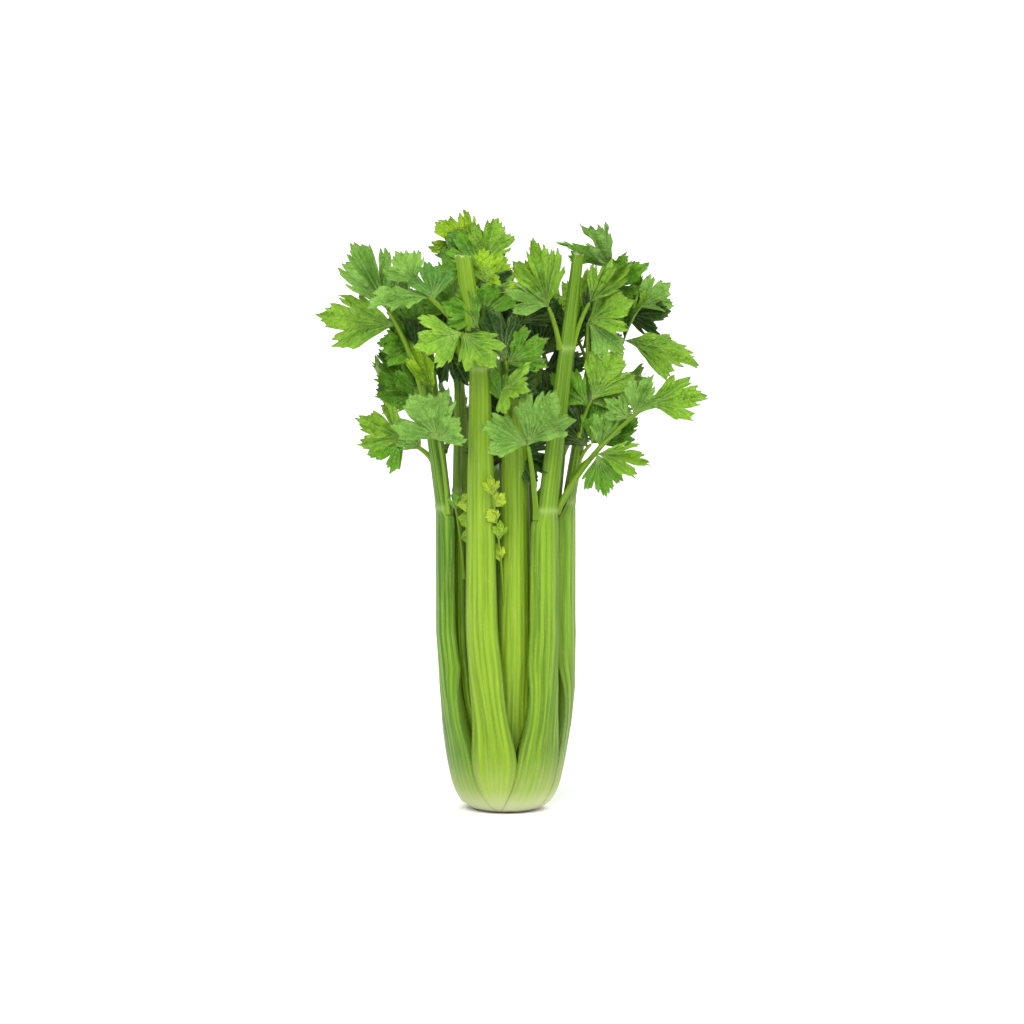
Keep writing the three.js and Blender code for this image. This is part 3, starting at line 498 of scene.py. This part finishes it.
# name: rib, height, crown (heading, distance from the axis, height), stalk radius, leaflets.
# A leaflet: how far along the stalk, heading, rise, length, width, (heading, rise) faced, tone.
SPRIGS = {
    "sprig_far_left": ("rib_left", 262, (-75, 77, 320), 2.2, [
        (0.8, -82, 8, 52, 40, (5, 20), "light"), (1, -100, 62, 50, 38, (5, 15), "pale")]),
    "sprig_left_arching": ("rib_front_left", 300, (-60, 66, 336), 2, [
        (0.75, -70, 0, 42, 30, (0, 60), "pale"), (0.7, -110, 80, 26, 32, (5, 10), "blue"),
        (1, -110, 60, 26, 30, (5, 10), "pale")]),
    "sprig_front_left_broad": ("rib_front_left", 295, (-27, 60, 308), 1.8, [
        (1, -70, -14, 32, 38, (-10, 20), "light"), (1, 60, -45, 32, 34, (5, 20), "light")]),
    "sprig_front_left_folded": ("rib_front_left", 292, (-20, 48, 310), 1.5, [
        (1, -120, 65, 30, 24, (-50, 0), "mid")]),
    "sprig_top_left_yellow": ("rib_inner_left", 300, (-90, 18, 354), 1.6, [
        (1, -95, 38, 35, 38, (0, 15), "young"), (0.85, -60, 52, 28, 36, (5, 22), "blue")]),
    "sprig_top_left_tall": ("rib_inner_left", 305, (-45, 20, 348), 1.5, [
        (1, 90, 75, 32, 32, (0, 10), "light"), (0.9, -85, 62, 30, 30, (0, 12), "mid"),
        (0.6, 100, 50, 32, 30, (0, 12), "dark")]),
    "sprig_left_upright": ("rib_inner_left", 285, (-65, 35, 325), 1.5, [
        (1, -100, 75, 33, 30, (0, 10), "mid"), (0.7, 95, 60, 32, 30, (0, 10), "dark"),
        (0.8, -90, 30, 30, 28, (0, 15), "mid")]),
    "sprig_left_dark": ("rib_inner_left", 268, (-90, 40, 302), 1.5, [
        (1, -150, 80, 42, 34, (15, 10), "dark"), (0.9, -100, 15, 34, 32, (0, 18), "dark"),
        (0.7, 40, 30, 38, 36, (0, 12), "dark"), (0.8, 30, -40, 34, 32, (0, 10), "dark")]),
    "sprig_left_broad": ("rib_left", 268, (-82, 55, 300), 1.6, [
        (1, -40, 72, 34, 36, (10, 10), "mid"), (1, -95, 50, 32, 20, (10, 10), "dark"),
        (0.9, -60, 5, 32, 32, (0, 20), "mid"), (0.6, -75, 55, 34, 30, (0, 10), "dark")]),
    "sprig_top_centre_yellow": ("rib_inner_front", 300, (-25, 32, 338), 1.5, [
        (1, 0, 85, 22, 34, (0, 10), "young"), (1, 50, 30, 24, 30, (0, 55), "young")]),
    "sprig_centre_curled": ("rib_inner_front", 285, (-22, 38, 316), 1.5, [
        (1, 30, 80, 24, 42, (0, 10), "mid"), (1, -75, 20, 28, 28, (-10, 15), "mid")]),
    "sprig_centre_dark": ("rib_inner_front", 262, (0, 42, 290), 1.7, [
        (1, -70, 70, 36, 38, (5, 10), "dark"), (0.9, 75, 30, 32, 32, (0, 15), "mid")]),
    "sprig_front_right_high": ("rib_front_right", 297, (28, 56, 324), 1.8, [
        (1, -60, 75, 44, 34, (5, 10), "light"), (1, -62, 24, 32, 26, (0, 30), "pale"),
        (1, -95, 50, 36, 30, (0, 35), "young")]),
    "sprig_centre_stalked": ("rib_inner_front", 292, (15, 34, 312), 1.6, [
        (1, -60, 84, 28, 26, (0, 8), "dark"), (1, 70, 42, 30, 30, (0, 15), "dark"),
        (0.8, -95, 35, 34, 32, (0, 12), "dark")]),
    "sprig_centre_forked": ("rib_inner_front", 238, (-3, 47, 272), 1.7, [
        (1, 40, 14, 24, 46, (0, 45), "light"), (0.7, -70, 70, 25, 18, (-25, 5), "mid"),
        (0.8, 85, 40, 28, 26, (0, 12), "dark")]),
    "sprig_front_centre": ("rib_front_right", 190, (14, 57, 238), 2, [
        (1, 45, 58, 42, 42, (0, 14), "pale"), (1, -72, 22, 35, 36, (0, 38), "pale")]),
    "sprig_front_left_low": ("rib_left", 192, (-43, 61, 240), 1.8, [
        (1, -60, 57, 37, 48, (0, 12), "pale"), (1, 50, 42, 20, 30, (0, 12), "pale")]),
    "sprig_far_left_low": ("rib_left", 225, (-80, 64, 237), 1.9, [
        (1, -75, 28, 35, 36, (0, 15), "light"), (1, -65, -12, 27, 38, (0, 35), "mid"),
        (0.5, -70, 45, 22, 22, (0, 12), "pale")]),
    "sprig_left_pointed": ("rib_left", 245, (-95, 54, 266), 1.7, [
        (1, -80, 46, 40, 34, (0, 15), "mid"), (0.9, -80, 8, 30, 28, (0, 22), "mid"),
        (0.7, -60, 70, 34, 30, (0, 12), "mid")]),
    "sprig_left_yellow": ("rib_left", 246, (-60, 53, 268), 1.4, [
        (1, -70, 65, 38, 18, (20, 10), "young")]),
    "sprig_right_stem": ("rib_front_right", 193, (66, 97, 262), 2.1, [
        (1, 80, 8, 39, 34, (0, 25), "light"), (0.88, 65, 62, 27, 26, (0, 12), "pale"),
        (0.84, -75, 42, 20, 20, (0, 12), "pale"), (0.55, 50, 70, 29, 22, (0, 12), "pale")]),
    "sprig_right_under": ("rib_right", 222, (68, 58, 236), 1.5, [
        (1, 95, 28, 35, 30, (0, 20), "mid"), (1, 60, 64, 32, 30, (0, 12), "mid"),
        (0.8, -80, 50, 32, 30, (0, 12), "dark")]),
    "sprig_right_hanging": ("rib_right", 214, (56, 69, 231), 1.6, [
        (1, 40, -68, 28, 28, (0, 15), "mid"), (1, 80, -8, 36, 26, (0, 28), "light")]),
    "sprig_right_broad": ("rib_right", 240, (62, 61, 264), 1.7, [
        (1, 75, 58, 38, 36, (0, 12), "light"), (0.9, 95, 12, 34, 30, (0, 20), "light"),
        (0.8, -90, 45, 32, 28, (0, 12), "mid")]),
    "sprig_right_lime": ("rib_front_right", 296, (55, 64, 326), 1.7, [
        (1, 75, 62, 30, 22, (8, 5), "light"), (1, 80, 44, 37, 15, (8, 5), "light")]),
    "sprig_top_right_arching": ("rib_right", 292, (80, 67, 345), 1.6, [
        (1, -42, 50, 40, 32, (20, 40), "pale"), (1, -78, 28, 40, 22, (0, 60), "mid"),
        (0.7, 60, 30, 34, 30, (0, 12), "mid")]),
    "sprig_right_upright": ("rib_right", 275, (82, 45, 302), 1.5, [
        (1, 130, 80, 45, 32, (-10, 8), "light"), (0.9, -95, 62, 32, 30, (0, 10), "dark"),
        (0.7, 80, 40, 34, 30, (0, 12), "dark")]),
    "sprig_right_dark": ("rib_right", 284, (62, 58, 313), 1.6, [
        (1, 76, 25, 32, 36, (0, 20), "light"), (1, 76, -34, 30, 30, (0, 18), "pale"),
        (0.8, 100, 60, 36, 32, (0, 12), "dark")]),
    "sprig_far_right_drooping": ("rib_right", 270, (76, 77, 301), 1.8, [
        (1, 72, -18, 50, 32, (0, 40), "light"), (1, 110, 76, 48, 20, (-30, 0), "light")]),
    "sprig_far_right_pale": ("rib_back_right", 293, (92, 84, 320), 1.5, [
        (1, 90, 38, 26, 28, (0, 18), "pale"), (0.8, 60, 5, 34, 32, (0, 15), "dark")]),
    "sprig_heart_right": ("rib_heart_right", 240, (75, 24, 290), 1.5, [
        (1, 80, 60, 40, 36, (0, 10), "dark"), (1, -60, 65, 38, 34, (0, 10), "dark"),
        (0.7, 90, 20, 34, 32, (0, 15), "dark"), (0.8, 60, -40, 34, 32, (0, 10), "dark")]),
    "sprig_heart_front": ("rib_heart_front", 190, (5, 26, 240), 1.5, [
        (1, -75, 62, 42, 38, (0, 10), "dark"), (1, 70, 55, 42, 38, (0, 10), "dark"),
        (0.7, -85, 10, 30, 28, (0, 15), "dark"), (0.8, 70, -15, 34, 32, (0, 12), "dark")]),
    "sprout_centre": ("rib_inner_front", 128, (-10, 48, 206), 0.9, [
        (1, -15, 75, 13, 12, (0, 20), "sprout"), (0.88, 60, 50, 12, 11, (0, 25), "sprout"),
        (0.72, -60, 60, 12, 11, (0, 15), "sprout"), (0.58, 20, 70, 13, 11, (10, 20), "young"),
        (0.4, -50, 70, 13, 10, (0, 15), "sprout")]),
    "sprout_left": ("rib_inner_left", 150, (-50, 42, 198), 0.9, [
        (1, 85, 12, 14, 14, (0, 20), "sprout"), (0.8, 80, -15, 11, 12, (0, 15), "young"),
        (0.5, 70, 10, 11, 11, (0, 15), "young"), (0.9, -30, 75, 13, 10, (0, 15), "mid")]),
}
# Round the back the sprigs follow a rule: two tiers, fanned from the right round to the left.
BACK_TIERS = [("low", 215, (62, 250), 35), ("high", 265, (58, 305), 55)]
BACK_RIBS = ["rib_back_right", "rib_back_right", "rib_back", "rib_back_left", "rib_back_left"]
for row, (tier, foot_height, (reach, crown_height), rise) in enumerate(BACK_TIERS):
    for i, rib_name in enumerate(BACK_RIBS):
        heading = 118 + 31 * i + 8 * row
        sway = 1 if i % 2 == 0 else -1
        tones = ["mid", "light", "dark"] if (i + row) % 2 else ["light", "mid", "pale"]
        SPRIGS[f"sprig_back_{tier}_{i + 1}"] = (
            rib_name, foot_height + 4 * i, (heading, reach + 5 * sway, crown_height + 9 * sway), 1.8, [
                (1, heading, rise, 40, 36, (heading, -25), tones[0]),
                (1, heading + 62, rise - 15, 34, 32, (heading, 20), tones[1]),
                (0.7, heading - 62, rise - 10, 32, 30, (heading, 20), tones[2])])


def stalk_path(rib_name, height, crown):
    centre, curve, turn, _, _, _ = rib_place(rib_name, height)
    heading, reach, top = crown
    end = heading_vector(heading) * reach + np.array([0, 0, top])
    aside = math.degrees(math.atan2(end[0] - centre[0], centre[1] - end[1])) - turn
    aside = (aside + 180) % 360 - 180
    foot = centre + heading_vector(turn + max(-FOOT_ASIDE, min(FOOT_ASIDE, aside))) * curve * FOOT_DEPTH
    bend = foot + (end - foot) * np.array([BEND_OUT, BEND_OUT, BEND_UP])
    return lambda t: (1 - t) ** 2 * foot + 2 * t * (1 - t) * bend + t * t * end


def stalk_mesh(path, radius):
    """A side stalk: a ribbed tube, broad where it leaves the rib, with a closed tip."""
    sides = np.linspace(0, 2 * math.pi, STALK_SIDES, endpoint=False)
    rings, numbers = [], []
    for t in np.linspace(0, 1, STALK_RINGS):
        centre = path(t)
        tangent = path(min(1, t + 0.01)) - path(max(0, t - 0.01))
        tangent /= np.linalg.norm(tangent)
        side = np.cross(tangent, (0, 1, 0))
        side /= np.linalg.norm(side)
        front = np.cross(side, tangent)
        closing = math.sqrt(max(0.02, 1 - max(0, (t - 0.97) / 0.03) ** 2))
        size = radius * (1 - STALK_TAPER * t) * (1 + 0.35 * math.exp(-t * 14)) * closing
        lobes = np.abs(np.sin(sides * 3)) ** 0.6
        r = size * (1 - 0.07 * (1 - lobes))
        rings.append(centre + np.outer(r * np.cos(sides), side) + np.outer(r * np.sin(sides), front))
        height = mix(*STALK_COLOURED_AS, t)
        numbers.append(np.stack([np.sin(sides) * 0.5, np.full(STALK_SIDES, height), lobes], axis=1))
    return np.concatenate(rings), skin(STALK_RINGS, STALK_SIDES), np.concatenate(numbers)


def blade_mesh(foot, leaflet, chance):
    """A leaflet: a fan of points from its foot to its toothed edge, curved, ruffled and closed."""
    at, heading, rise, length, width, face, tone = leaflet
    along = heading_vector(heading, rise)
    normal = heading_vector(*face)
    normal -= along * normal.dot(along)
    normal /= np.linalg.norm(normal)
    side = np.cross(along, normal)
    turn = np.linspace(-BLADE_SPREAD, BLADE_SPREAD, BLADE_COLUMNS)
    leaned = np.abs(turn + chance.uniform(-2.5, 2.5))
    reach = read_all(LEAF_EDGE, leaned) * (1 + chance.uniform(-0.05, 0.05) * np.sign(turn))
    for at_degrees, least, most, breadth in NOTCHES:
        depth = np.where(turn < 0, chance.uniform(least, most), chance.uniform(least, most))
        reach = reach - depth * np.exp(-(np.abs(leaned - at_degrees) / breadth) ** 1.3)
    along_tooth = np.mod(leaned / chance.uniform(4.8, 6.2) + chance.uniform(0, 1), 1)
    saw = np.where(along_tooth < 0.25, along_tooth / 0.25, (1 - along_tooth) / 0.75)
    reach = reach * (1 - chance.uniform(*TEETH) * (1 - saw))
    share = np.linspace(0, 1, BLADE_ROWS) ** 0.85
    r = share[:, None] * reach[None, :]
    angle = np.radians(turn)[None, :]
    u = r * np.cos(angle)
    v = r * np.sin(angle) * (WEDGE + (1 - WEDGE) * np.minimum(1, r / 0.6) ** 1.3)
    waves = WAVES * length * share[:, None] ** 2 * np.sin(
        angle * chance.uniform(5, 8) + chance.uniform(0, 6.28))
    frill = FRILL * length * share[:, None] ** 5 * np.sin(
        angle * chance.uniform(24, 34) + chance.uniform(0, 6.28))
    from_main = np.min([np.abs(turn - at_vein) for at_vein in MAIN_VEINS], axis=0)
    folds = chance.uniform(*FOLDS) * length * r * np.radians(from_main)[None, :]
    crumple = 0
    for _ in range(3):
        across_waves, along_waves = chance.uniform(-18, 18), chance.uniform(9, 20)
        crumple = crumple + CRUMPLE * length * share[:, None] * np.sin(
            across_waves * v + along_waves * u + chance.uniform(0, 6.28))
    twist = chance.uniform(-0.3, 0.3) * width * v * u
    curl = chance.uniform(-0.25, 0.55) * width * v * v
    bow = chance.uniform(0.3, 2.6) * DROOP * length * u * u
    cup = CUP * width * np.abs(v) * chance.uniform(0.3, 1.8)
    lift = cup - bow + waves + frill + folds + crumple + twist - curl
    flat = foot + u[..., None] * length * along + v[..., None] * width * side
    thin = BLADE * (1 - 0.6 * share[:, None] ** 8) / 2
    top = flat + (lift + thin)[..., None] * normal
    under = flat + (lift - thin)[..., None] * normal
    points = np.concatenate([top.reshape(-1, 3), under.reshape(-1, 3)])
    rows, columns = BLADE_ROWS, BLADE_COLUMNS
    j, i = np.meshgrid(np.arange(rows - 1), np.arange(columns - 1), indexing="ij")
    a = (j * columns + i).ravel()
    quads = np.stack([a, a + 1, a + columns + 1, a + columns], axis=1)
    offset = rows * columns
    faces = quads[:, ::-1].tolist() + (quads + offset).tolist()
    rim = np.concatenate([np.arange(rows) * columns, (rows - 1) * columns + np.arange(1, columns),
                          (np.arange(rows - 2, -1, -1)) * columns + columns - 1])
    faces += [[int(p), int(q), int(q) + offset, int(p) + offset] for p, q in zip(rim[:-1], rim[1:])]
    from_vein = np.min([np.abs(turn - at_vein) * (1 + 0.35 * (abs(at_vein) > 40))
                        for at_vein in VEINS], axis=0)
    broad = 0.34 + 0.9 * (1 - share[:, None]) ** 3
    vein = np.exp(-(np.radians(from_vein)[None, :] * r * length / broad) ** 2) * (1 - 0.5 * share[:, None])
    numbers = np.stack([(u * length).ravel(), (v * width).ravel(), vein.ravel(),
                        np.broadcast_to(share[:, None], u.shape).ravel()], axis=1)
    numbers = np.concatenate([numbers, numbers])
    beneath = np.repeat([0.0, 1.0], rows * columns)
    shade = chance.uniform(0.88, 1.1)
    colour = np.array(TONES[tone]) * np.array([shade, shade, shade, 1])
    return points, faces, numbers, beneath, np.tile(colour, (len(points), 1))


def leaf_finish():
    """Soft leaf: its own green with painted shade deepening it towards the foot and in blotches, paler on
    the veins and underneath, a painted highlight on the rim, satin.
    """
    finish = Finish("leaf_blade")
    along, sideways = finish.reading("along"), finish.reading("sideways")
    vein, beneath, share = finish.reading("vein"), finish.reading("beneath"), finish.reading("share")
    tone = finish.reading("tone", output=0)
    herring = (along - sideways.math("ABSOLUTE") * 0.85) * 0.24
    ripple = (herring.math("FRACT") - 0.5).math("ABSOLUTE")
    side_veins = 1 - ripple.step(0.02, 0.12)
    place = finish.node("ShaderNodeTexCoord", output=3)
    mottle = finish.node("ShaderNodeTexNoise", {}, {"Vector": place, "Scale": 90.0, "Detail": 3.0})
    crinkles = finish.node("ShaderNodeTexNoise", {}, {"Vector": place, "Scale": 260.0, "Detail": 2.0})
    net = finish.node("ShaderNodeTexVoronoi", {"feature": "DISTANCE_TO_EDGE"},
                      {"Vector": place, "Scale": 620.0})
    # painted shade: the leaf green is darkened towards each leaflet's foot and in blotches, standing in for
    # the shade deep in the canopy
    painted_shade_green = finish.blend(0.85, tone, (0.2, 0.38, 0.08, 1), kind="MULTIPLY")
    colour = finish.blend((share * 0.42 + mottle * 0.8 + crinkles * 0.25).step(0.5, 1.0), painted_shade_green, tone)
    # the veins' own paler green, also used for the painted highlight on the leaflets' rims
    vein_pale_and_rim_highlight = finish.blend(0.6, tone, paint(206, 242, 130))
    colour = finish.blend(vein * (0.8 - share * 0.3) + side_veins * 0.22, colour, vein_pale_and_rim_highlight)
    colour = finish.blend((1 - net.step(0.0, 0.12)) * 0.12, colour, vein_pale_and_rim_highlight)
    # painted highlight: the outermost rim of each leaflet is lightened as if it caught the light
    colour = finish.blend(share.step(0.9, 1.0) * 0.35, colour, vein_pale_and_rim_highlight)
    colour = finish.blend(beneath * 0.4, colour, paint(140, 184, 92))
    relief = crinkles * 2.2 + mottle * 2.0 - vein * 0.3 - side_veins * 0.35 + net.step(0.0, 0.3) * 0.25
    bump = finish.node("ShaderNodeBump", {}, {"Strength": 0.9, "Distance": 0.0013, "Height": relief})
    surface = finish.node("ShaderNodeBsdfPrincipled", {}, {
        "Base Color": colour, "Roughness": 0.42 - mottle * 0.12, "Specular IOR Level": 0.3, "Normal": bump})
    through = finish.node("ShaderNodeBsdfTranslucent", {}, {"Color": paint(128, 190, 24)})
    return finish.close(finish.node("ShaderNodeMixShader", {}, {0: 0.2, 1: surface, 2: through}))


def build_sprig(name, sprig, number, flesh, blade):
    rib_name, height, crown, radius, leaflets = sprig
    chance = np.random.RandomState(100 + number)
    path = stalk_path(rib_name, height, crown)
    points, faces, stalk_numbers = stalk_mesh(path, radius)
    count = len(points)
    numbers = {
        "across": stalk_numbers[:, 0], "height": stalk_numbers[:, 1], "strings": stalk_numbers[:, 2],
        "inside": np.zeros(count), "cut": np.zeros(count), "near_joint": np.zeros(count),
        "youth": np.full(count, STALK_YOUTH),
        "own": np.full(count, number % 7), "along": np.zeros(count), "sideways": np.zeros(count),
        "vein": np.zeros(count), "share": np.zeros(count), "beneath": np.zeros(count)}
    tones = [np.tile(TONES["light"], (count, 1))]
    all_points, all_faces, slots = [points], faces, [0] * len(faces)
    for leaflet in leaflets:
        made = blade_mesh(path(leaflet[0]), leaflet, chance)
        blade_points, blade_faces, read_off, beneath, colours = made
        start = sum(len(p) for p in all_points)
        all_faces += [[k + start for k in f] for f in blade_faces]
        slots += [1] * len(blade_faces)
        all_points.append(blade_points)
        tones.append(colours)
        extra = {"along": read_off[:, 0], "sideways": read_off[:, 1], "vein": read_off[:, 2],
                 "share": read_off[:, 3], "beneath": beneath}
        for key in numbers:
            numbers[key] = np.concatenate([numbers[key], extra.get(key, np.zeros(len(blade_points)))])
    piece = mesh_piece(name + "_leafy", np.concatenate(all_points), all_faces, [flesh, blade], numbers,
                       np.concatenate(tones), slots)
    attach(piece, "root")
    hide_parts(name)


leaf_blade = leaf_finish()
for number, (name, sprig) in enumerate(SPRIGS.items()):
    build_sprig(name, sprig, number, rib_flesh, leaf_blade)
